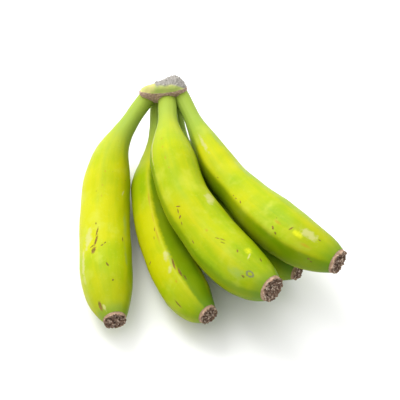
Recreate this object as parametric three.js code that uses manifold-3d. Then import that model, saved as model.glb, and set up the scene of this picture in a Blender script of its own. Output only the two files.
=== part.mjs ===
// A hand of five green bananas lying on its lower row, made with three.js.
// Millimetres, +Z up. X runs across the hand and the fingers point to -Y.
// The origin is on the surface that the hand lies on, under the middle of its box.

import * as THREE from "three";
import { mergeVertices } from "three/addons/utils/BufferGeometryUtils.js";
import Module from "manifold-3d";

const RINGS = 40; // rings of vertices along a finger
const SIDES = 20; // vertices around a finger
const EDGES = 5; // blunt edges along a finger's length
const EDGE_STRENGTH = 0.35; // 0 is a round section, 1 is a flat-sided one
const SCAR_RISE = 0.8; // how far the blossom scar domes out of the tip
const GAP = 0.35; // clearance between a finger's root and the crown

// Each finger's centre line runs from inside the crown to the blossom scar.
// girth, pedicel and tip are radii: at the fullest point, the stalk and the scar.
// neck is where the stalk starts and stops widening, as a share of the length.
// waist is the thickness just past the neck, as a share of the full girth.
const FINGERS = {
  finger_1: {
    line: [
      [-44.5, 84.4, 47.1],
      [-45.3, 83.8, 46.7],
      [-55.3, 69.8, 41.7],
      [-69.7, 45.3, 31.7],
      [-74.2, 15.8, 22.7],
      [-73.3, -24.7, 19.7],
      [-69.3, -67.2, 20.2],
      [-63.3, -94.7, 23.7],
    ],
    girth: 19.3,
    pedicel: 6.4,
    tip: 7.6,
    roll: 20,
    neck: [0.1, 0.42],
    waist: 0.94,
    blunt: 2.2,
    colour: 0xa9bd10,
  },
  finger_2: {
    line: [
      [-36.5, 88.8, 38.9],
      [-37, 86.5, 37.2],
      [-37.3, 67.8, 28.7],
      [-39.8, 41.3, 19.7],
      [-39.3, 12.3, 17.2],
      [-33.8, -19.2, 16.7],
      [-22.3, -53.7, 18.2],
      [-9.8, -78.7, 22.7],
      [0.7, -92.2, 26.7],
    ],
    girth: 17.6,
    pedicel: 6.0,
    tip: 6.6,
    roll: 10,
    neck: [0.15, 0.39],
    waist: 0.93,
    blunt: 3.2,
    colour: 0x98b00c,
  },
  finger_3: {
    line: [
      [-29.8, 90, 48.4],
      [-29.8, 83.3, 48.9],
      [-28.3, 54.8, 50.7],
      [-24.3, 21.8, 51.7],
      [-14.3, -12.2, 48.7],
      [3.2, -40.7, 45.7],
      [23.7, -68.2, 47.7],
      [43.2, -88.7, 55.7],
    ],
    girth: 19.6,
    pedicel: 7.2,
    tip: 8.8,
    roll: 100,
    neck: [0.13, 0.36],
    waist: 0.88,
    blunt: 2.8,
    colour: 0xb0c414,
  },
  finger_4: {
    line: [
      [-25.1, 88.4, 40.4],
      [-24.3, 86.2, 38.4],
      [-21.8, 68.3, 30.7],
      [-14.8, 48.8, 20.7],
      [-1.8, 19.8, 16.7],
      [16.7, -9.2, 16.2],
      [39.7, -35.2, 16.7],
      [64.2, -54.2, 21.7],
    ],
    girth: 16.6,
    pedicel: 6.2,
    tip: 6.4,
    roll: 10,
    neck: [0.17, 0.4],
    waist: 0.93,
    blunt: 2.6,
    colour: 0x6f8606,
  },
  finger_5: {
    line: [
      [-21.3, 90.6, 50],
      [-16.8, 84, 49.6],
      [-5.8, 53.3, 45.7],
      [10.2, 19.8, 44.2],
      [34.7, -17.7, 49.7],
      [61.7, -49.7, 56.7],
      [87.7, -71.2, 61.7],
    ],
    girth: 19.0,
    pedicel: 6.1,
    tip: 8.4,
    roll: 10,
    neck: [0.12, 0.39],
    waist: 0.74,
    blunt: 2.4,
    colour: 0xa4b90f,
  },
};
const FULLEST = 0.77; // share of the length where the girth is full
const SHOULDER = 0.75; // share of the length where the tip starts to round off

// The crown is a cushion seen edge-on from above, leaning back a little.
// Its front face carries the fingers and its back face is where the hand was cut off.
const CROWN = {
  centre: [-32.8, 86.5, 52.7],
  lean: 14, // degrees that the cut face looks up
  halfWidth: 18,
  halfHeight: [19, 14.5], // below and above the centre
  squareness: 0.75, // 1 is an oval outline, less is squarer
  frontDepth: 10.5,
  backDepth: [2.2, 6], // at the thin left end and at the right
  peak: 4.5, // extra depth of the ragged cut, right of the middle
  peakAt: 0.45,
  bandRise: 0.8, // the corky band stands this far out of the crown
  bandSag: 0.72, // the band hangs towards the front at the middle
  colour: 0x9a8470,
};
const CROWN_STEPS = [40, 26]; // steps around and along the crown

const wasm = await Module();
wasm.setup();

const smooth = (x) => THREE.MathUtils.smoothstep(x, 0, 1);

// A closed mesh as a manifold-3d solid, with its shared vertices merged.
function toSolid(geometry) {
  const bare = geometry.clone();
  bare.deleteAttribute("normal");
  bare.deleteAttribute("uv");
  const merged = mergeVertices(bare, 1e-4);
  return new wasm.Manifold(
    new wasm.Mesh({
      numProp: 3,
      vertProperties: new Float32Array(merged.attributes.position.array),
      triVerts: new Uint32Array(merged.index.array),
    }),
  );
}

function toGeometry(solid) {
  const { vertProperties, triVerts } = solid.getMesh();
  const geometry = new THREE.BufferGeometry();
  geometry.setAttribute("position", new THREE.BufferAttribute(vertProperties, 3));
  geometry.setIndex(new THREE.BufferAttribute(triVerts, 1));
  geometry.computeVertexNormals();
  return geometry;
}

// A finger's radius at t, which runs from 0 at the crown to 1 at the scar.
function fingerRadius(t, { girth, pedicel, tip, neck, waist, blunt }) {
  const widening = smooth((t - neck[1]) / (FULLEST - neck[1]));
  const body = girth * (waist + (1 - waist) * widening);
  const spread = smooth((t - neck[0]) / (neck[1] - neck[0]));
  const radius = THREE.MathUtils.lerp(pedicel, body, spread);
  const past = Math.max(0, (t - SHOULDER) / (1 - SHOULDER));
  const scar = tip / girth;
  return radius * (scar + (1 - scar) * (1 - past ** blunt));
}

// How far the blunt edges push the section out at an angle, as a factor on the radius.
function edgeFactor(angle, t, roll) {
  const strength = EDGE_STRENGTH * smooth((t - 0.15) / 0.2) * (1 - smooth((t - 0.85) / 0.15));
  const sector = (2 * Math.PI) / EDGES;
  const turned = angle - THREE.MathUtils.degToRad(roll);
  const uneven = turned + 0.12 * Math.sin(2 * turned);
  const across = THREE.MathUtils.euclideanModulo(uneven, sector) - sector / 2;
  const flat = Math.cos(sector / 2) / Math.cos(across);
  return flat ** strength * (1 + 0.4 * (1 - Math.cos(sector / 2) ** strength));
}

// The frame that carries a finger's section: its first axis leans as near to up as it can.
function sectionFrame(curve, t) {
  const along = curve.getTangentAt(t);
  const up = new THREE.Vector3(0, 0, 1).addScaledVector(along, -along.z).normalize();
  const side = new THREE.Vector3().crossVectors(along, up);
  return { centre: curve.getPointAt(t), along, up, side };
}

// A closed cylinder's rings are moved onto the finger's centre line and its caps become
// the root, which is inside the crown, and the domed blossom scar.
function fingerGeometry(finger) {
  const points = finger.line.map((p) => new THREE.Vector3(...p));
  const curve = new THREE.CatmullRomCurve3(points, false, "catmullrom", 0.5);
  const geometry = new THREE.CylinderGeometry(1, 1, 1, SIDES, RINGS);
  const position = geometry.attributes.position;
  const frames = new Map();
  for (let i = 0; i < position.count; i++) {
    const t = THREE.MathUtils.clamp(0.5 - position.getY(i), 0, 1);
    const key = t.toFixed(6);
    if (!frames.has(key)) frames.set(key, sectionFrame(curve, t));
    const { centre, along, up, side } = frames.get(key);
    const offCentre = Math.hypot(position.getX(i), position.getZ(i)) > 0.5;
    const place = centre.clone();
    if (offCentre) {
      const angle = Math.atan2(-position.getX(i), position.getZ(i));
      const radius = fingerRadius(t, finger) * edgeFactor(angle, t, finger.roll);
      place.addScaledVector(up, radius * Math.cos(angle));
      place.addScaledVector(side, radius * Math.sin(angle));
    } else if (t > 0.5) {
      place.addScaledVector(along, SCAR_RISE);
    }
    position.setXYZ(i, place.x, place.y, place.z);
  }
  return geometry;
}

// Moves a point on a circle out onto a squarer outline that meets it on both axes.
function squarer(x, y) {
  const radius = Math.hypot(x, y);
  if (radius < 1e-6) return [0, 0];
  const push = (v) => Math.sign(v) * (Math.abs(v) / radius) ** CROWN.squareness * radius;
  return [push(x), push(y)];
}

// A unit sphere whose poles look forward and back is stretched into the crown.
function crownGeometry(grow = 0) {
  const geometry = new THREE.SphereGeometry(1, ...CROWN_STEPS);
  const position = geometry.attributes.position;
  const lean = THREE.MathUtils.degToRad(CROWN.lean);
  const back = new THREE.Vector3(0, Math.cos(lean), Math.sin(lean));
  const up = new THREE.Vector3(0, -Math.sin(lean), Math.cos(lean));
  for (let i = 0; i < position.count; i++) {
    const depth = position.getY(i);
    const [x, height] = squarer(position.getX(i), position.getZ(i));
    const hump = CROWN.peak * Math.exp(-(((x - CROWN.peakAt) / 0.45) ** 2)) * smooth(height + 0.6);
    const slant = THREE.MathUtils.lerp(...CROWN.backDepth, smooth((x + 0.75) / 1.1));
    const behind = (slant + hump + grow) * Math.abs(depth) ** 0.65;
    const ahead = -(CROWN.frontDepth + grow) * Math.abs(depth) ** 0.8;
    const fromBand = depth + CROWN.bandSag * (1 - x * x);
    const rim = CROWN.bandRise * Math.exp(-((fromBand / 0.22) ** 2));
    const place = new THREE.Vector3(...CROWN.centre);
    place.x += x * (CROWN.halfWidth + rim + grow);
    const tall = CROWN.halfHeight[height > 0 ? 1 : 0];
    place.addScaledVector(up, height * (tall + rim + grow));
    place.addScaledVector(back, depth > 0 ? behind : ahead);
    position.setXYZ(i, place.x, place.y, place.z);
  }
  return geometry;
}

function makeMesh(name, geometry, colour, roughness) {
  const material = new THREE.MeshStandardMaterial({ color: colour, roughness, metalness: 0 });
  const mesh = new THREE.Mesh(geometry, material);
  mesh.name = name;
  return mesh;
}

const hand = new THREE.Group();
hand.add(makeMesh("crown", toGeometry(toSolid(crownGeometry())), CROWN.colour, 0.9));
const socket = toSolid(crownGeometry(GAP));
for (const [name, finger] of Object.entries(FINGERS)) {
  const trimmed = toSolid(fingerGeometry(finger)).subtract(socket);
  hand.add(makeMesh(name, toGeometry(trimmed), finger.colour, 0.45));
}

export default hand;
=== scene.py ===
"""The looks of a hand of five green bananas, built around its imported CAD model.

Lengths in the tables are millimetres, as in the CAD source, and become metres when a mesh is made.
Every finger is a dense tube along its own centre line, ending in a crusty blossom scar.
The crown is one dense closed surface with a corky band and a ragged dry cut.
"""

import bpy
import numpy as np
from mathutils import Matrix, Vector


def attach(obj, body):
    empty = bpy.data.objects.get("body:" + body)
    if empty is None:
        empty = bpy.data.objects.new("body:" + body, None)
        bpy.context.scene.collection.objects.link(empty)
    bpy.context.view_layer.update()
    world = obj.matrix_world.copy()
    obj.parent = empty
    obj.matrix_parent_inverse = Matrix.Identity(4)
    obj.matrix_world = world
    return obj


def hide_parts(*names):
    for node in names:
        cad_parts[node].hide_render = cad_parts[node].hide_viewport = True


MM = 0.001
BODY_RINGS = 330
SCAR_RINGS = 26
SIDES = 144
CROWN_GRID = (260, 150)

# Where most of the light comes from: behind, above and a little to the left.
BRIGHT_SIDE = (-0.30, 0.52, 0.80)

# The centre lines are those of the CAD model, but finger_5 starts a little further in. girth,
# pedicel and tip are radii in mm, neck and waist shape the stalk end, roll turns the blunt edges,
# edge says how strong they are, soften rounds them and ridge says how much paler the edges are
# painted, partly their own paleness and partly a painted highlight. ripeness turns the
# peel from green toward yellow.
FINGERS = {
    "finger_1": dict(
        line=[
            (-44.5, 84.4, 47.1), (-45.3, 83.8, 46.7), (-55.3, 69.8, 41.7), (-69.7, 45.3, 31.7),
            (-74.2, 15.8, 22.7), (-73.3, -24.7, 19.7), (-69.3, -67.2, 20.2), (-63.3, -94.7, 23.7),
        ],
        girth=19.3, pedicel=6.4, tip=7.6, roll=20, edge=0.20, soften=0.22,
        neck=(0.10, 0.42), waist=0.94, blunt=2.2,
        ridge=0.15, ripeness=0.2, seed=11,
    ),
    "finger_2": dict(
        line=[
            (-36.5, 88.8, 38.9), (-37, 86.5, 37.2), (-37.3, 67.8, 28.7), (-39.8, 41.3, 19.7),
            (-39.3, 12.3, 17.2), (-33.8, -19.2, 16.7), (-22.3, -53.7, 18.2), (-9.8, -78.7, 22.7),
            (0.7, -92.2, 26.7),
        ],
        girth=17.6, pedicel=6.0, tip=6.6, roll=12, edge=0.55, soften=0.06,
        neck=(0.15, 0.39), waist=0.93, blunt=3.2,
        ridge=0.45, ripeness=0.15, seed=22,
    ),
    "finger_3": dict(
        line=[
            (-29.8, 90, 48.4), (-29.8, 83.3, 48.9), (-28.3, 54.8, 50.7), (-24.3, 21.8, 51.7),
            (-14.3, -12.2, 48.7), (3.2, -40.7, 45.7), (23.7, -68.2, 47.7), (43.2, -88.7, 55.7),
        ],
        girth=19.6, pedicel=7.2, tip=8.8, roll=95, edge=0.22, soften=0.20,
        neck=(0.13, 0.36), waist=0.88, blunt=2.8,
        ridge=0.28, ripeness=0.0, seed=33,
    ),
    "finger_4": dict(
        line=[
            (-25.1, 88.4, 40.4), (-24.3, 86.2, 38.4), (-21.8, 68.3, 30.7), (-14.8, 48.8, 20.7),
            (-1.8, 19.8, 16.7), (16.7, -9.2, 16.2), (39.7, -35.2, 16.7), (64.2, -54.2, 21.7),
        ],
        girth=16.6, pedicel=6.2, tip=6.4, roll=10, edge=0.40, soften=0.10,
        neck=(0.17, 0.40), waist=0.93, blunt=2.6,
        ridge=0.2, ripeness=-0.3, seed=44,
    ),
    "finger_5": dict(
        line=[
            (-23.6, 89.6, 49.6), (-18.6, 82.8, 49.2), (-5.8, 53.3, 45.7), (10.2, 19.8, 44.2),
            (34.7, -17.7, 49.7), (61.7, -49.7, 56.7), (87.7, -71.2, 61.7),
        ],
        girth=19.0, pedicel=6.1, tip=8.4, roll=50, edge=0.46, soften=0.12,
        neck=(0.12, 0.39), waist=0.74, blunt=2.4,
        ridge=0.35, ripeness=0.0, seed=55,
    ),
}
FULLEST = 0.77
SHOULDER = 0.75
EDGES = 5

# Marks on the peel: (kind, share of the length, degrees around from the top, length mm, width mm,
# slant degrees). Kinds: brown scabs, pale rubs, grey scuffs, yellow patches, orange freckles and
# a ring-shaped scab.
MARKS = {
    "finger_1": [
        ("brown", 0.662, 15, 8.0, 1.3, 14),
        ("brown", 0.700, 18, 10.0, 1.9, 16),
        ("brown", 0.742, 24, 6.0, 3.6, 20),
        ("brown", 0.722, 27, 4.0, 1.4, 60),
        ("brown", 0.625, 17, 2.2, 1.0, 0),
        ("brown", 0.958, 44, 7.5, 4.4, 25),
        ("brown", 0.725, 5, 2.6, 1.2, 60),
        ("brown", 0.715, -2, 2.2, 1.0, 40),
        ("brown", 0.812, -4, 4.0, 1.5, -30),
        ("brown", 0.880, -14, 2.2, 1.5, 20),
        ("brown", 0.690, -42, 4.4, 1.0, 0),
        ("pale", 0.680, 38, 20.0, 6.0, 18),
        ("pale", 0.780, 58, 26.0, 4.0, 8),
        ("pale", 0.972, 32, 5.0, 4.0, 0),
        ("grey", 0.620, -52, 26.0, 3.6, 4),
        ("grey", 0.760, -50, 20.0, 2.6, -4),
        ("pale", 0.470, -48, 7.0, 1.2, 20),
        ("orange", 0.380, 0, 2.6, 1.8, 0),
        ("orange", 0.450, 4, 2.2, 1.4, 0),
        ("orange", 0.500, 5, 2.0, 1.2, 0),
    ],
    "finger_2": [
        ("grey", 0.770, 10, 22.0, 2.6, 6),
        ("pale", 0.740, 15, 8.0, 4.6, 10),
        ("pale", 0.800, 20, 6.0, 3.4, 30),
        ("brown", 0.790, 7, 12.0, 1.6, 8),
        ("brown", 0.835, 3, 9.0, 1.8, 4),
        ("brown", 0.865, -2, 5.0, 1.2, 0),
        ("orange", 0.470, 14, 16.0, 1.3, 2),
        ("orange", 0.640, 16, 18.0, 1.4, 2),
        ("brown", 0.920, 60, 6.8, 1.4, 10),
        ("brown", 0.715, 64, 3.7, 0.9, 70),
        ("brown", 0.610, 18, 3.8, 0.7, 12),
        ("brown", 0.640, 26, 2.5, 0.7, 12),
        ("orange", 0.860, 22, 3.0, 1.6, 0),
        ("orange", 0.560, 14, 12.0, 0.9, 0),
    ],
    "finger_3": [
        ("pale", 0.583, -36, 11.0, 8.0, 20),
        ("yellow", 0.870, -20, 9.0, 6.4, 10),
        ("pale", 0.893, -10, 9.0, 1.5, 60),
        ("brown", 0.568, 46, 3.6, 1.3, 30),
        ("brown", 0.586, 50, 3.7, 1.5, 80),
        ("brown", 0.556, 39, 3.9, 1, -60),
        ("brown", 0.606, 56, 2.7, 1, 30),
        ("ring", 0.944, 26, 4.8, 4.6, 0),
        ("brown", 0.928, 40, 2.7, 1.8, 20),
        ("brown", 0.752, 14, 3.4, 0.7, -30),
        ("brown", 0.768, 8, 5.1, 0.7, -25),
        ("brown", 0.780, 12, 4.2, 0.7, -25),
        ("brown", 0.845, 2, 3.1, 1.3, 30),
        ("brown", 0.690, 60, 3.4, 1, 10),
        ("brown", 0.930, -28, 4.2, 1.4, 30),
        ("grey", 0.900, 40, 14.0, 8.0, 0),
        ("orange", 0.290, 26, 2.6, 2.0, 0),
        ("orange", 0.330, 25, 2.2, 1.6, 0),
        ("orange", 0.375, 24, 3.0, 1.6, 0),
        ("orange", 0.415, 22, 2.0, 1.4, 0),
        ("orange", 0.700, 20, 2.6, 2.0, 0),
        ("pale", 0.300, 66, 34.0, 3.0, 0),
    ],
    "finger_4": [
        ("brown", 0.700, -20, 6.8, 1.1, 10),
        ("grey", 0.800, 40, 12.0, 5.0, 0),
    ],
    "finger_5": [
        ("grey", 0.500, -34, 26.0, 9.0, 6),
        ("grey", 0.300, -30, 16.0, 7.0, 0),
        ("pale", 0.290, 24, 22.0, 5.0, 0),
        ("brown", 0.778, 40, 3.1, 1.6, 40),
        ("brown", 0.797, 46, 2.7, 1.3, 30),
        ("brown", 0.832, 18, 4.2, 1.1, -70),
        ("yellow", 0.860, 20, 8.0, 6.0, 20),
        ("brown", 0.925, 64, 2, 1.8, 0),
        ("brown", 0.935, 70, 1.7, 1.4, 0),
        ("brown", 0.610, 44, 2.7, 1, 30),
        ("brown", 0.585, 46, 2.2, 0.8, -20),
        ("brown", 0.568, 46, 2, 0.7, 0),
        ("brown", 0.460, 46, 1.7, 0.8, 0),
        ("brown", 0.930, 0, 2.2, 1.3, 0),
        ("pale", 0.890, 4, 14.0, 8.0, 0),
        ("orange", 0.780, 24, 6.0, 2.6, 0),
        ("orange", 0.900, 34, 8.0, 3.0, 0),
    ],
}

# Painted shade: the sides that the other fingers shade, or that face away from the light, are painted
# a deeper green. For each: the turn in degrees where this starts, the turn where it is full, and how
# strong it is.
PAINTED_SHADE_SIDES = {
    "finger_1": [(-35, -75, 0.30)],
    "finger_2": [(11, 0, 0.72), (-10, -60, 0.5)],
    "finger_3": [(-22, -70, 0.5), (62, 76, 0.55)],
    "finger_4": [(80, 20, 0.8)],
    "finger_5": [(44, 60, 0.50), (-30, -60, 0.2)],
}

# Torn scraps on the crown: where on it (across, back, up, as a direction), heading, length and
# width in mm.
FLAKES = [
    ((-0.88, 0.20, 0.45), (-0.4, 0.9, 0.5), 4.2, 3.6),
    ((0.96, -0.20, 0.10), (1.0, -0.5, -0.1), 3.4, 2.4),
]

# Colours, as linear red, green, blue and alpha.
PEEL_GREEN = (0.19, 0.345, 0.001, 1)
PEEL_YELLOW = (0.45, 0.46, 0.001, 1)
# Deep green, used for the darker blossom end and for the painted shade on sheltered sides.
PEEL_DEEP_AND_SHADE = (0.07, 0.17, 0.001, 1)
PEEL_LIGHT = (0.47, 0.51, 0.05, 1)
# Pale yellow of the ridges: partly their own colour, partly a painted highlight.
PEEL_RIDGE_AND_GLINT = (0.46, 0.43, 0.01, 1)
PEEL_STALK = (0.27, 0.38, 0.055, 1)
PEEL_TIP = (0.10, 0.21, 0.02, 1)
SCUFF_GREY = (0.22, 0.33, 0.08, 1)
RUB_PALE = (0.48, 0.47, 0.17, 1)
YELLOW_PATCH = (0.58, 0.60, 0.01, 1)
DOT_ORANGE = (0.40, 0.26, 0.01, 1)
MARK_BROWN = (0.10, 0.045, 0.015, 1)
MARK_TAN = (0.23, 0.12, 0.03, 1)
RING_GREY = (0.15, 0.155, 0.08, 1)
SCAR_DARK = (0.07, 0.042, 0.028, 1)
SCAR_GREY = (0.26, 0.17, 0.12, 1)
SCAR_PALE = (0.64, 0.51, 0.40, 1)
SCAR_PIT = (0.012, 0.008, 0.006, 1)
SCAR_RIM = (0.42, 0.275, 0.185, 1)
CROWN_GREEN = (0.42, 0.52, 0.13, 1)
CROWN_YELLOW = (0.60, 0.55, 0.20, 1)
CROWN_TAN = (0.40, 0.30, 0.16, 1)
CUT_DARK = (0.27, 0.25, 0.225, 1)
CUT_GREY = (0.38, 0.36, 0.33, 1)
CUT_PALE = (0.55, 0.53, 0.50, 1)
BAND_DARK = (0.38, 0.25, 0.20, 1)
BAND_BROWN = (0.56, 0.38, 0.31, 1)
BAND_PALE = (0.70, 0.53, 0.44, 1)

# How far a mark's outline wanders, and where its edge starts and ends to fade, by kind.
RAGGED = dict(brown=1.8, ring=0.9, pale=2.4, grey=2.6, yellow=2.0, orange=1.0)
SOFT_EDGE = dict(brown=(0.6, 1.2), pale=(0.4, 1.2), grey=(0.0, 1.4))
SOFT_EDGE.update(yellow=(0.2, 1.2), orange=(0.2, 1.3))

# The crown, a little slimmer than the CAD model's: a cushion leaning back, low at its left end.
CROWN = dict(
    centre=(-32.8, 86.5, 52.7), lean=14.0, half_width=16.9, half_height=(14.5, 12.6), square=0.75,
    front=8.0, back=(0.4, 6.6), skew=1.4,
    peak=4.2, peak_at=0.64, band_sag=0.90, band_rise=0.9,
)


# ---------------------------------------------------------------- shapes


def smooth(x):
    x = np.clip(x, 0.0, 1.0)
    return x * x * (3.0 - 2.0 * x)


def ripple(points, size, seed, waves=12):
    """A smooth random wave field over points, about -1 to 1, with bumps about size mm apart."""
    rng = np.random.default_rng(seed)
    total = np.zeros(points.shape[:-1])
    for _ in range(waves):
        heading = rng.normal(size=3)
        heading *= 2 * np.pi / size * rng.uniform(0.7, 1.4) / np.linalg.norm(heading)
        total += np.sin(points @ heading + rng.uniform(0, 2 * np.pi))
    return total / np.sqrt(waves / 2.0) * 0.7


def centre_line(points, count):
    """Even points on the smooth curve through the given ones, and the curve's length."""
    p = np.array(points, float)
    p = np.vstack([2 * p[0] - p[1], p, 2 * p[-1] - p[-2]])
    fine = []
    for a, b, c, d in zip(p[:-3], p[1:-2], p[2:-1], p[3:]):
        s = np.linspace(0, 1, 60, endpoint=False)[:, None]
        cubic = (-a + 3 * b - 3 * c + d) * s**3 + (2 * a - 5 * b + 4 * c - d) * s**2
        fine.append(0.5 * (cubic + (c - a) * s + 2 * b))
    fine = np.vstack(fine + [p[-2][None]])
    travelled = np.r_[0, np.cumsum(np.linalg.norm(np.diff(fine, axis=0), axis=1))]
    wanted = np.linspace(0, travelled[-1], count)
    even = np.stack([np.interp(wanted, travelled, fine[:, k]) for k in range(3)], -1)
    return even, travelled[-1]


def section_frames(centre):
    """Unit vectors along the line, as near to up as can be, and to the side, at every point."""
    along = np.gradient(centre, axis=0)
    along /= np.linalg.norm(along, axis=1)[:, None]
    up = np.array([0, 0, 1.0]) - along[:, 2:] * along
    up /= np.linalg.norm(up, axis=1)[:, None]
    return along, up, np.cross(along, up)


def finger_radius(t, finger):
    """The radius in mm along a finger, t from 0 in the crown to 1 at the scar."""
    low, high = finger["neck"]
    waist = finger["waist"]
    body = finger["girth"] * (waist + (1 - waist) * smooth((t - high) / (FULLEST - high)))
    radius = finger["pedicel"] + (body - finger["pedicel"]) * smooth((t - low) / (high - low))
    past = np.clip((t - SHOULDER) / (1 - SHOULDER), 0, 1)
    scar = finger["tip"] / finger["girth"]
    return radius * (scar + (1 - scar) * (1 - past ** finger["blunt"]))


def edge_distance(angle, roll):
    """How far round an angle is from the nearest blunt edge, in radians, 0 on the edge."""
    sector = 2 * np.pi / EDGES
    turned = angle - np.radians(roll)
    uneven = turned + 0.12 * np.sin(2 * turned)
    return sector / 2 - np.abs(np.mod(uneven, sector) - sector / 2)


def edge_factor(angle, t, finger):
    """The blunt edges' share of the radius: more than 1 on an edge, less between two."""
    half = np.pi / EDGES
    strength = finger["edge"] * smooth((t - 0.13) / 0.22) * (1 - smooth((t - 0.86) / 0.14))
    away = np.hypot(edge_distance(angle, finger["roll"]), finger["soften"])
    flat = np.cos(half) / np.cos(half - np.minimum(away, half))
    rounded = flat**strength
    return rounded * (1 + 0.4 * (1 - np.cos(half) ** strength))


def scar_profile(count):
    """Radius share and rise in mm of the blossom scar's rings, from its rim to its middle."""
    share = np.interp(np.linspace(0, 1, count), [0, 0.12, 0.25, 1], [1.02, 1.03, 0.90, 0.0])
    rise = np.interp(np.linspace(0, 1, count), [0, 0.12, 0.25, 0.5, 1], [0.3, 1.2, 1.1, 0.5, 0.9])
    return share, rise


def finger_points(finger):
    """The rings of a finger's surface in mm, with the values that its material reads."""
    centre, length = centre_line(finger["line"], BODY_RINGS)
    along, up, side = section_frames(centre)
    t = np.linspace(0, 1, BODY_RINGS)
    angle = np.linspace(-np.pi, np.pi, SIDES, endpoint=False)
    tt, aa = np.meshgrid(t, angle, indexing="ij")
    radius = finger_radius(t, finger)[:, None] * edge_factor(aa, tt, finger)
    out = np.cos(aa)[..., None] * up[:, None] + np.sin(aa)[..., None] * side[:, None]
    body = centre[:, None] + radius[..., None] * out
    calm = (smooth(tt / 0.2) * 0.75 + 0.25) * (1 - 0.5 * smooth((tt - 0.9) / 0.1))
    dents = 0.30 * ripple(body, 34, finger["seed"]) + 0.07 * ripple(body, 12, finger["seed"] + 1)
    ribs = 0.05 * np.sin(aa * 9 + 2 * np.sin(aa * 2 + finger["seed"])) * (1 - smooth((tt - 0.1) / 0.25))
    body += ((dents * calm) + ribs)[..., None] * out

    share, rise = scar_profile(SCAR_RINGS)
    last = (body[-1] - centre[-1])[None]
    scar = centre[-1] + share[:, None, None] * last + rise[:, None, None] * along[-1]
    inward = np.linspace(0, 1, SCAR_RINGS)[:, None]
    lumps = 0.7 * ripple(scar, 3.2, finger["seed"] + 2)
    lumps += 0.35 * ripple(scar, 1.6, finger["seed"] + 3, 20)
    lumps *= smooth(inward / 0.2) * (1 - 0.5 * smooth((inward - 0.85) / 0.15))
    scar += lumps[..., None] * along[-1]
    scar += (0.25 * ripple(scar, 5.0, finger["seed"] + 4) * (1 - inward))[..., None] * out[-1]

    rings = np.concatenate([body, scar])
    reach = np.r_[t, np.full(SCAR_RINGS, 1.0)]
    crust = np.r_[smooth((t - 0.991) / 0.007), np.ones(SCAR_RINGS)]
    rim = np.r_[smooth((t - 0.988) / 0.008), np.interp(np.linspace(0, 1, SCAR_RINGS), [0, 0.28], [1, 0])]
    # Where the edges are painted paler: partly the ridges' own paleness, partly a painted highlight.
    edge = np.exp(-((edge_distance(aa, finger["roll"]) / 0.13) ** 2)) * smooth((tt - 0.16) / 0.2)
    edge *= finger["ridge"] * (1 - smooth((tt - 0.9) / 0.1))
    edge = np.concatenate([edge, np.zeros((SCAR_RINGS, SIDES))])
    values = dict(reach=reach, crust=crust, rim=rim)
    values = {k: np.repeat(v[:, None], SIDES, 1) for k, v in values.items()}
    values["edge"] = edge
    unrolled = np.stack([np.r_[t * length, length + np.linspace(0, 6, SCAR_RINGS)]], -1)
    return rings, values, unrolled[:, 0], angle


def grid_faces(rows, sides):
    """Quads between neighbouring rings of a closed tube."""
    r, s = np.meshgrid(np.arange(rows - 1), np.arange(sides), indexing="ij")
    nxt = (s + 1) % sides
    quads = np.stack([r * sides + s, (r + 1) * sides + s, (r + 1) * sides + nxt, r * sides + nxt], -1)
    return quads.reshape(-1, 4).tolist()


def fan(ring, middle, flip):
    """Triangles that close a ring of vertices onto one middle vertex."""
    pairs = zip(ring, ring[1:] + ring[:1])
    return [(b, a, middle) if flip else (a, b, middle) for a, b in pairs]


def make_mesh(name, points, faces, values, material):
    """A smooth mesh object in metres, with one float attribute for each of the values."""
    mesh = bpy.data.meshes.new(name)
    mesh.from_pydata((points * MM).tolist(), [], faces)
    mesh.polygons.foreach_set("use_smooth", [True] * len(mesh.polygons))
    for key, data in values.items():
        mesh.attributes.new(key, "FLOAT", "POINT").data.foreach_set("value", data.astype(np.float32))
    mesh.materials.append(material)
    mesh.update()
    piece = bpy.data.objects.new(name, mesh)
    bpy.context.scene.collection.objects.link(piece)
    return piece


def unroll(mesh, distance, angle, girth, root, tip):
    """A UV map that holds the distance along and around the finger, in metres."""
    layer = mesh.uv_layers.new(name="peel")
    rows, sides = len(distance), len(angle)
    index = np.zeros(len(mesh.loops), np.int64)
    mesh.loops.foreach_get("vertex_index", index)
    row, column = np.minimum(index // sides, rows - 1), index % sides
    around = angle[column]
    sizes = np.zeros(len(mesh.polygons), np.int64)
    mesh.polygons.foreach_get("loop_total", sizes)
    face = np.repeat(np.arange(len(sizes)), sizes)
    high = np.zeros(len(sizes), bool)
    np.logical_or.at(high, face, column == sides - 1)
    around = np.where(high[face] & (column == 0), around + 2 * np.pi, around)
    uv = np.stack([distance[row], around * girth], -1) * MM
    uv[index == root] = (0, 0)
    uv[index == tip] = (distance[-1] * MM, 0)
    layer.data.foreach_set("uv", uv.astype(np.float32).ravel())


def make_finger(name, finger, material):
    rings, values, distance, angle = finger_points(finger)
    rows = len(rings)
    points = np.vstack([rings.reshape(-1, 3), rings[0].mean(0), rings[-1].mean(0)])
    root, tip = rows * SIDES, rows * SIDES + 1
    first = list(range(SIDES))
    last = list(range((rows - 1) * SIDES, rows * SIDES))
    faces = grid_faces(rows, SIDES) + fan(first, root, True) + fan(last, tip, False)
    flat = {k: np.r_[v.ravel(), v[0, 0], v[-1, 0]] for k, v in values.items()}
    piece = make_mesh(name, points, faces, flat, material)
    unroll(piece.data, distance, angle, finger["girth"], root, tip)
    return piece


def crown_axes():
    lean = np.radians(CROWN["lean"])
    back = np.array([0, np.cos(lean), np.sin(lean)])
    up = np.array([0, -np.sin(lean), np.cos(lean)])
    return back, up


def squarer(across, upward, radius):
    """A circle's points moved out onto a squarer outline that meets it on both axes."""
    power = CROWN["square"]
    return [radius * np.sign(v) * np.abs(v) ** power for v in (across, upward)]


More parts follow.
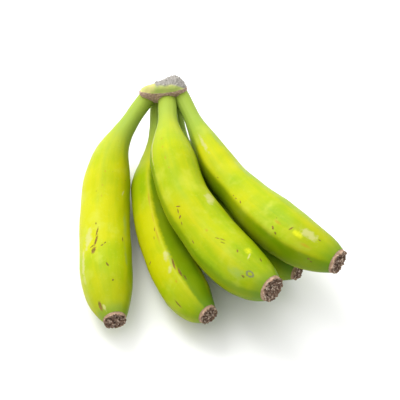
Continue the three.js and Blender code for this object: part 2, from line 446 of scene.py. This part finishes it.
def crown_points():
    """The crown's surface on a grid of directions, and its band and cut masks."""
    around, rows = CROWN_GRID
    polar = np.linspace(0, np.pi, rows)[1:-1, None]
    turn = np.linspace(0, 2 * np.pi, around, endpoint=False)[None]
    depth = np.cos(polar) * np.ones_like(turn)
    x, height = squarer(np.cos(turn), np.sin(turn), np.sin(polar))
    back, up = crown_axes()
    hump = CROWN["peak"] * np.exp(-(((x - CROWN["peak_at"]) / 0.45) ** 2)) * smooth(height + 0.6)
    slant = CROWN["back"][0] + (CROWN["back"][1] - CROWN["back"][0]) * smooth((x + 0.75) / 1.1)
    behind = (slant + hump) * np.abs(depth) ** 0.65
    ahead = -CROWN["front"] * np.abs(depth) ** 0.8
    from_band = depth + CROWN["band_sag"] * np.sqrt(1 - np.clip(x * x, 0, 1))
    rough = np.stack([x * 18, depth * 9, height * 14], -1)
    wander = 0.05 * ripple(rough, 9, 71)
    band = 1 - smooth((from_band + 0.5 * wander - 0.10) / 0.05)
    rim = CROWN["band_rise"] * np.exp(-((from_band / 0.16) ** 4))
    place = np.zeros(x.shape + (3,)) + np.array(CROWN["centre"])
    place[..., 0] += x * (CROWN["half_width"] + rim)
    low, high = CROWN["half_height"]
    tall = np.where(height > 0, high, low * (1 - 0.35 * smooth(-depth)))
    place += (height * (tall + rim))[..., None] * up
    place += (np.where(depth > 0, behind, ahead) + CROWN["skew"] * x)[..., None] * back
    cut_starts = -0.20 + 0.8 * smooth((-0.2 - x) / 0.4)
    cut = smooth((depth - cut_starts + wander + 0.12) / 0.24)
    cork = 0.22 * ripple(place, 2.2, 72, 24) + 0.14 * ripple(place, 1.0, 73, 30)
    torn = 0.75 * np.abs(ripple(place * [1.0, 0.35, 0.6], 3.2, 74, 24)) - 0.35
    torn += 0.25 * ripple(place, 1.2, 75, 30)
    outward = place - np.array(CROWN["centre"])
    outward /= np.linalg.norm(outward, axis=-1)[..., None]
    place += (cork * band + torn * cut + 0.12 * ripple(place, 6, 76))[..., None] * outward
    return place, dict(band=band, cut=cut)


def make_crown(material):
    place, values = crown_points()
    rows, around = place.shape[:2]
    points = np.vstack([place.reshape(-1, 3), place[0].mean(0), place[-1].mean(0)])
    far, near = rows * around, rows * around + 1
    first = list(range(around))
    last = list(range((rows - 1) * around, rows * around))
    faces = grid_faces(rows, around) + fan(first, far, True) + fan(last, near, False)
    flat = {k: np.r_[v.ravel(), v[0].mean(), v[-1].mean()] for k, v in values.items()}
    return make_mesh("crown_cork", points, faces, flat, material)


def on_crown(direction):
    """The point on the crown's surface that lies in a direction from its centre."""
    place = crown_points()[0].reshape(-1, 3)
    back, up = crown_axes()
    away = place - np.array(CROWN["centre"])
    away /= np.linalg.norm(away, axis=1)[:, None]
    across, backward, upward = direction
    wanted = np.array([across, 0, 0]) + backward * back + upward * up
    return place[np.argmax(away @ (wanted / np.linalg.norm(wanted)))]


def flake_points(root, heading, length, width, seed):
    """A torn scrap of dry bract: a flat tapering tongue, bent and crumpled."""
    rows, sides = 14, 16
    ahead = np.array(heading, float) / np.linalg.norm(heading)
    across = np.cross(ahead, (0.3, -0.5, 0.8))
    across /= np.linalg.norm(across)
    flat = np.cross(ahead, across)
    t = np.linspace(0, 1, rows)[:, None]
    angle = np.linspace(0, 2 * np.pi, sides, endpoint=False)[None]
    size = width / 2 * (1 - t) ** 0.7 + 0.12
    body = np.array(root) + (t * length)[..., None] * ahead + (0.25 * length * t**2)[..., None] * flat
    body = body + (size * np.cos(angle))[..., None] * across
    body = body + (0.4 * size * np.sin(angle))[..., None] * flat
    return body + 0.3 * ripple(body, 2.0, seed)[..., None] * flat


def make_flakes(material):
    """The scraps that stand out of the crown, as one piece."""
    points, faces = [], []
    for seed, flake in enumerate(FLAKES):
        spot, heading, length, width = flake
        grid = flake_points(on_crown(spot) - np.array(heading), heading, length, width, 80 + seed)
        rows, sides = grid.shape[:2]
        base = sum(len(p) for p in points)
        ends = [rows * sides, rows * sides + 1]
        first = list(range(sides))
        last = list(range((rows - 1) * sides, rows * sides))
        quads = grid_faces(rows, sides) + fan(first, ends[0], True) + fan(last, ends[1], False)
        faces += [tuple(base + v for v in face) for face in quads]
        points.append(np.vstack([grid.reshape(-1, 3), grid[0].mean(0), grid[-1].mean(0)]))
    points = np.vstack(points)
    values = dict(band=np.full(len(points), 0.8), cut=np.ones(len(points)))
    return make_mesh("crown_scraps", points, faces, values, material)


# ---------------------------------------------------------------- materials


def node(tree, kind, inputs=None, **settings):
    """A new node with its settings and inputs; an input that is a socket is linked."""
    made = tree.nodes.new(kind)
    for key, value in settings.items():
        setattr(made, key, value)
    for key, value in (inputs or {}).items():
        if isinstance(value, bpy.types.NodeSocket):
            tree.links.new(value, made.inputs[key])
        else:
            made.inputs[key].default_value = value
    return made


def blend_colour(tree, amount, below, above):
    mix = node(tree, "ShaderNodeMix", data_type="RGBA", clamp_factor=True)
    for key, value in ((0, amount), (6, below), (7, above)):
        if isinstance(value, bpy.types.NodeSocket):
            tree.links.new(value, mix.inputs[key])
        else:
            mix.inputs[key].default_value = value
    return mix.outputs[2]


def maths(tree, operation, a, b=0.0, c=0.0):
    made = node(tree, "ShaderNodeMath", {0: a, 1: b, 2: c}, operation=operation)
    return made.outputs[0]


def ramp(tree, value, low, high, out_low=0.0, out_high=1.0):
    inputs = {0: value, 1: low, 2: high, 3: out_low, 4: out_high}
    return node(tree, "ShaderNodeMapRange", inputs, interpolation_type="SMOOTHSTEP").outputs[0]


def noise(tree, where, scale, detail=4.0, roughness=0.55):
    inputs = {"Vector": where, "Scale": scale, "Detail": detail, "Roughness": roughness}
    return node(tree, "ShaderNodeTexNoise", inputs).outputs["Fac"]


def attribute(tree, name):
    return node(tree, "ShaderNodeAttribute", attribute_name=name).outputs["Fac"]


def new_material(name):
    material = bpy.data.materials.new(name)
    material.use_nodes = True
    tree = material.node_tree
    shader = next(n for n in tree.nodes if n.type == "BSDF_PRINCIPLED")
    return material, tree, shader


def mark_mask(tree, peel, ragged, finger, mark, length):
    """A ragged spot on the unrolled peel, 1 inside and 0 outside."""
    kind, share, degrees, long, wide, slant = mark
    centre = (share * length * MM, np.radians(degrees) * finger["girth"] * MM, 0)
    inputs = {
        "Vector": peel,
        "Location": centre,
        "Rotation": (0, 0, np.radians(slant)),
        "Scale": (long * MM / 2, wide * MM / 2, 1),
    }
    local = node(tree, "ShaderNodeMapping", inputs, vector_type="TEXTURE").outputs[0]
    away = node(tree, "ShaderNodeVectorMath", {0: local}, operation="LENGTH").outputs["Value"]
    away = maths(tree, "MULTIPLY_ADD", ragged[kind in ("brown", "ring")], RAGGED[kind], away)
    if kind == "ring":
        away = maths(tree, "ABSOLUTE", maths(tree, "SUBTRACT", away, 0.95))
        return ramp(tree, away, 0.2, 0.42, 1, 0)
    return ramp(tree, away, *SOFT_EDGE[kind], 1, 0)


def marks_of(tree, peel, ragged, name, kinds):
    """All of a finger's marks of some kinds in one mask."""
    finger = FINGERS[name]
    length = centre_line(finger["line"], 50)[1]
    total = None
    for mark in MARKS[name]:
        if mark[0] not in kinds:
            continue
        one = mark_mask(tree, peel, ragged, finger, mark, length)
        total = one if total is None else maths(tree, "MAXIMUM", total, one)
    return total if total is not None else 0.0


def peel_colour(tree, name, where, peel, ragged):
    """Yellow-green peel: paler stalk, deeper green tip, faint lengthwise streaks, pale edges that are
    partly a painted highlight, and painted shade on the sheltered sides.
    """
    offset = (FINGERS[name]["seed"] * 0.37, 0.0, 0.0)
    shifted = node(tree, "ShaderNodeVectorMath", {0: where, 1: offset}, operation="ADD").outputs[0]
    long_way = node(tree, "ShaderNodeMapping", {"Vector": peel, "Scale": (14, 160, 1)}).outputs[0]
    streaks = noise(tree, long_way, 1.0, 5.0, 0.6)
    clouds = noise(tree, shifted, 26.0, 3.0, 0.5)
    ripeness = FINGERS[name]["ripeness"]
    amount = ramp(tree, clouds, 0.25, 0.75, 0.22 + ripeness, 1.0 + ripeness)
    amount = maths(tree, "ADD", amount, maths(tree, "SUBTRACT", streaks, 0.5))
    colour = blend_colour(tree, amount, PEEL_GREEN, PEEL_YELLOW)
    fine = noise(tree, shifted, 420.0, 4.0, 0.6)
    colour = blend_colour(tree, ramp(tree, fine, 0.52, 0.78, 0, 0.30), colour, PEEL_LIGHT)
    haze = noise(tree, shifted, 55.0, 3.0, 0.6)
    colour = blend_colour(tree, ramp(tree, haze, 0.50, 0.75, 0, 0.55), colour, PEEL_LIGHT)
    across = node(tree, "ShaderNodeSeparateXYZ", {0: peel}).outputs["Y"]
    # Painted shade: the sides that other fingers shade, or that face away from the light, are darkened
    # toward deep green.
    for start, full, strength in PAINTED_SHADE_SIDES[name]:
        span = [np.radians(degrees) * FINGERS[name]["girth"] * MM for degrees in (start, full)]
        shade = ramp(tree, maths(tree, "MULTIPLY_ADD", ragged[0], 0.004, across), *span, 0, strength)
        colour = blend_colour(tree, shade, colour, PEEL_DEEP_AND_SHADE)
    reach = attribute(tree, "reach")
    wavy = maths(tree, "MULTIPLY_ADD", maths(tree, "SUBTRACT", clouds, 0.5), 0.10, reach)
    colour = blend_colour(tree, ramp(tree, wavy, 0.34, 0.12, 0, 0.85), colour, PEEL_STALK)
    colour = blend_colour(tree, ramp(tree, wavy, 0.72, 0.98, 0, 0.32), colour, PEEL_DEEP_AND_SHADE)
    colour = blend_colour(tree, ramp(tree, wavy, 0.95, 1.0, 0, 0.6), colour, PEEL_TIP)
    # Paler ridges: partly the peel's own paleness, partly a painted highlight.
    edge = maths(tree, "MULTIPLY", attribute(tree, "edge"), ramp(tree, streaks, 0.3, 0.7, 0.4, 1.0))
    colour = blend_colour(tree, edge, colour, PEEL_RIDGE_AND_GLINT)
    for kinds, paint, strength in (
        (("grey",), SCUFF_GREY, 0.45),
        (("pale",), RUB_PALE, 0.75),
        (("yellow",), YELLOW_PATCH, 0.9),
        (("orange",), DOT_ORANGE, 0.7),
        (("ring",), RING_GREY, 0.85),
    ):
        mask = marks_of(tree, peel, ragged, name, kinds)
        if isinstance(mask, bpy.types.NodeSocket):
            colour = blend_colour(tree, maths(tree, "MULTIPLY", mask, strength), colour, paint)
    return colour, streaks, fine


def specks(tree, where, scale, size, share):
    """Small dark dots scattered over the peel; share is how many cells hold one."""
    cells = node(tree, "ShaderNodeTexVoronoi", {"Vector": where, "Scale": scale})
    dot = ramp(tree, cells.outputs["Distance"], size * 0.6, size, 1, 0)
    chosen = node(tree, "ShaderNodeSeparateColor", {0: cells.outputs["Color"]}).outputs[0]
    return maths(tree, "MULTIPLY", dot, maths(tree, "LESS_THAN", chosen, share))


def scar_colour(tree, where):
    """Grey-brown granular crust with dark pits and pale crumbs."""
    grains = node(tree, "ShaderNodeTexVoronoi", {"Vector": where, "Scale": 360.0})
    shade = noise(tree, where, 500.0, 5.0, 0.7)
    colour = blend_colour(tree, ramp(tree, shade, 0.38, 0.62), SCAR_DARK, SCAR_GREY)
    crumbs = ramp(tree, noise(tree, where, 520.0, 3.0, 0.6), 0.53, 0.60, 0, 0.9)
    colour = blend_colour(tree, crumbs, colour, SCAR_PALE)
    pits = ramp(tree, grains.outputs["Distance"], 0.0, 0.45, 0.85, 0)
    return blend_colour(tree, pits, colour, SCAR_PIT)


def peel_material(name):
    material, tree, shader = new_material("peel_" + name)
    where = node(tree, "ShaderNodeTexCoord").outputs["Object"]
    peel = node(tree, "ShaderNodeUVMap", uv_map="peel").outputs[0]
    ragged = [maths(tree, "SUBTRACT", noise(tree, where, s, 4.0, 0.6), 0.5) for s in (260.0, 1100.0)]
    colour, streaks, fine = peel_colour(tree, name, where, peel, ragged)
    brown = marks_of(tree, peel, ragged, name, ("brown",))
    dots = specks(tree, where, 150.0, 0.075, 0.10)
    dots = maths(tree, "ADD", dots, specks(tree, where, 320.0, 0.10, 0.05))
    dots = maths(tree, "MULTIPLY", dots, 0.75)
    spots = maths(tree, "MAXIMUM", dots, brown) if isinstance(brown, bpy.types.NodeSocket) else dots
    mottled = blend_colour(tree, ramp(tree, fine, 0.4, 0.6), MARK_BROWN, MARK_TAN)
    patchy = ramp(tree, maths(tree, "ADD", ragged[1], fine), 0.25, 0.60, 0.62, 1.0)
    colour = blend_colour(tree, maths(tree, "MULTIPLY", spots, patchy), colour, mottled)
    crust = attribute(tree, "crust")
    crust = ramp(tree, maths(tree, "MULTIPLY_ADD", ragged[1], 0.9, crust), 0.35, 0.65)
    rim = maths(tree, "MULTIPLY", attribute(tree, "rim"), 0.75)
    scar = blend_colour(tree, rim, scar_colour(tree, where), SCAR_RIM)
    colour = blend_colour(tree, crust, colour, scar)
    tree.links.new(colour, shader.inputs["Base Color"])
    matt = ramp(tree, streaks, 0.3, 0.7, 0.36, 0.50)
    matt = maths(tree, "ADD", matt, maths(tree, "MULTIPLY", spots, 0.3))
    matt = maths(tree, "MAXIMUM", matt, maths(tree, "MULTIPLY", crust, 0.9))
    tree.links.new(matt, shader.inputs["Roughness"])
    height = maths(tree, "MULTIPLY_ADD", streaks, 0.5, maths(tree, "MULTIPLY", fine, 0.35))
    height = maths(tree, "MULTIPLY_ADD", spots, 0.4, height)
    grit = noise(tree, where, 700.0, 5.0, 0.7)
    coarse = maths(tree, "MULTIPLY", grit, maths(tree, "MULTIPLY", crust, 4.0))
    height = maths(tree, "ADD", height, coarse)
    bump = node(tree, "ShaderNodeBump", {"Strength": 0.35, "Distance": 0.0006, "Height": height})
    tree.links.new(bump.outputs[0], shader.inputs["Normal"])
    shader.inputs["Specular IOR Level"].default_value = 0.09
    return material


def crown_material():
    material, tree, shader = new_material("crown_cork")
    where = node(tree, "ShaderNodeTexCoord").outputs["Object"]
    soft = noise(tree, where, 90.0, 4.0, 0.6)
    grain = noise(tree, where, 420.0, 6.0, 0.7)
    fibre_map = node(tree, "ShaderNodeMapping", {"Vector": where, "Scale": (1400, 260, 420)}).outputs[0]
    fibres = noise(tree, fibre_map, 1.0, 4.0, 0.7)
    green = blend_colour(tree, ramp(tree, soft, 0.35, 0.65), CROWN_GREEN, CROWN_YELLOW)
    green = blend_colour(tree, ramp(tree, grain, 0.55, 0.8, 0, 0.5), green, CROWN_TAN)
    grey = blend_colour(tree, ramp(tree, fibres, 0.35, 0.65), CUT_DARK, CUT_GREY)
    grey = blend_colour(tree, ramp(tree, grain, 0.5, 0.75, 0, 0.6), grey, CUT_PALE)
    cork = blend_colour(tree, ramp(tree, grain, 0.35, 0.65), BAND_DARK, BAND_BROWN)
    cork = blend_colour(tree, ramp(tree, soft, 0.5, 0.8, 0, 0.5), cork, BAND_PALE)
    colour = blend_colour(tree, attribute(tree, "cut"), green, grey)
    colour = blend_colour(tree, attribute(tree, "band"), colour, cork)
    tree.links.new(colour, shader.inputs["Base Color"])
    shader.inputs["Roughness"].default_value = 0.85
    shader.inputs["Specular IOR Level"].default_value = 0.25
    height = maths(tree, "MULTIPLY_ADD", grain, 0.7, maths(tree, "MULTIPLY", fibres, 0.6))
    bump = node(tree, "ShaderNodeBump", {"Strength": 0.35, "Distance": 0.0006, "Height": height})
    tree.links.new(bump.outputs[0], shader.inputs["Normal"])
    return material


def floor_material():
    material, tree, shader = new_material("studio_floor")
    where = node(tree, "ShaderNodeTexCoord").outputs["Object"]
    faint = blend_colour(tree, noise(tree, where, 3.0), (0.86, 0.86, 0.86, 1), (0.88, 0.88, 0.88, 1))
    tree.links.new(faint, shader.inputs["Base Color"])
    shader.inputs["Roughness"].default_value = 0.9
    return material


# ---------------------------------------------------------------- studio


def make_floor():
    bpy.ops.mesh.primitive_plane_add(size=8.0, location=(0, 0, 0))
    floor = bpy.context.object
    floor.name = "studio_floor"
    floor.data.materials.append(floor_material())


def area_light(name, place, aim, size, power):
    lamp = bpy.data.lights.new(name, "AREA")
    lamp.shape = "DISK"
    lamp.size = size
    lamp.energy = power
    lit = bpy.data.objects.new(name, lamp)
    lit.location = place
    lit.rotation_euler = (Vector(aim) - Vector(place)).to_track_quat("-Z", "Y").to_euler()
    bpy.context.scene.collection.objects.link(lit)


def make_studio():
    """Soft white light, brightest from behind, above and a little to the left."""
    make_floor()
    world = bpy.data.worlds.new("soft_white")
    world.use_nodes = True
    tree = world.node_tree
    where = node(tree, "ShaderNodeTexCoord").outputs["Generated"]
    facing = node(tree, "ShaderNodeVectorMath", {0: where, 1: BRIGHT_SIDE}, operation="DOT_PRODUCT")
    background = tree.nodes["Background"]
    background.inputs[0].default_value = (1, 1, 1, 1)
    brightness = ramp(tree, facing.outputs["Value"], -0.35, 1.0, 0.22, 1.95)
    tree.links.new(brightness, background.inputs[1])
    bpy.context.scene.world = world
    area_light("key", (-0.40, 0.42, 0.86), (-0.01, 0, 0.03), 0.5, 5.0)
    bpy.context.scene.view_settings.view_transform = "Standard"


def make_camera():
    """Looks down at 55 degrees from the blossom ends, 0.85 m away."""
    elevation = np.radians(55.0)
    target = np.array([-0.0048, 0.0018, 0.0297])
    place = target + 0.85 * np.array([0, -np.cos(elevation), np.sin(elevation)])
    lens = bpy.data.cameras.new("view")
    lens.lens = 104.8
    lens.sensor_width = 36.0
    camera = bpy.data.objects.new("view", lens)
    camera.location = place
    camera.rotation_euler = (np.pi / 2 - elevation, 0, 0)
    bpy.context.scene.collection.objects.link(camera)
    bpy.context.scene.camera = camera


# ---------------------------------------------------------------- the hand


def make_hand():
    slots = dict(finger_1="peel_front", finger_2="peel_lower", finger_3="peel_front")
    slots.update(finger_4="peel_lower", finger_5="peel_front")
    for name, finger in FINGERS.items():
        piece = make_finger(name + "_peel", finger, peel_material(name))
        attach(piece, "root")
        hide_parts(name)
    crown = make_crown(crown_material())
    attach(crown, "root")
    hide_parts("crown")
    scraps = make_flakes(crown.data.materials[0])
    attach(scraps, "root")


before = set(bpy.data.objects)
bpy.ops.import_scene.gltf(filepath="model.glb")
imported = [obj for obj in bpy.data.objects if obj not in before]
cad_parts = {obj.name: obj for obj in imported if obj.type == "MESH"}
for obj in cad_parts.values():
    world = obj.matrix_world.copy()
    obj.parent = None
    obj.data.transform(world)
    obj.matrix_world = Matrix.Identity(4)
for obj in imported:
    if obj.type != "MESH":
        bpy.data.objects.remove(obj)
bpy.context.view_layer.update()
make_camera()
make_hand()
make_studio()
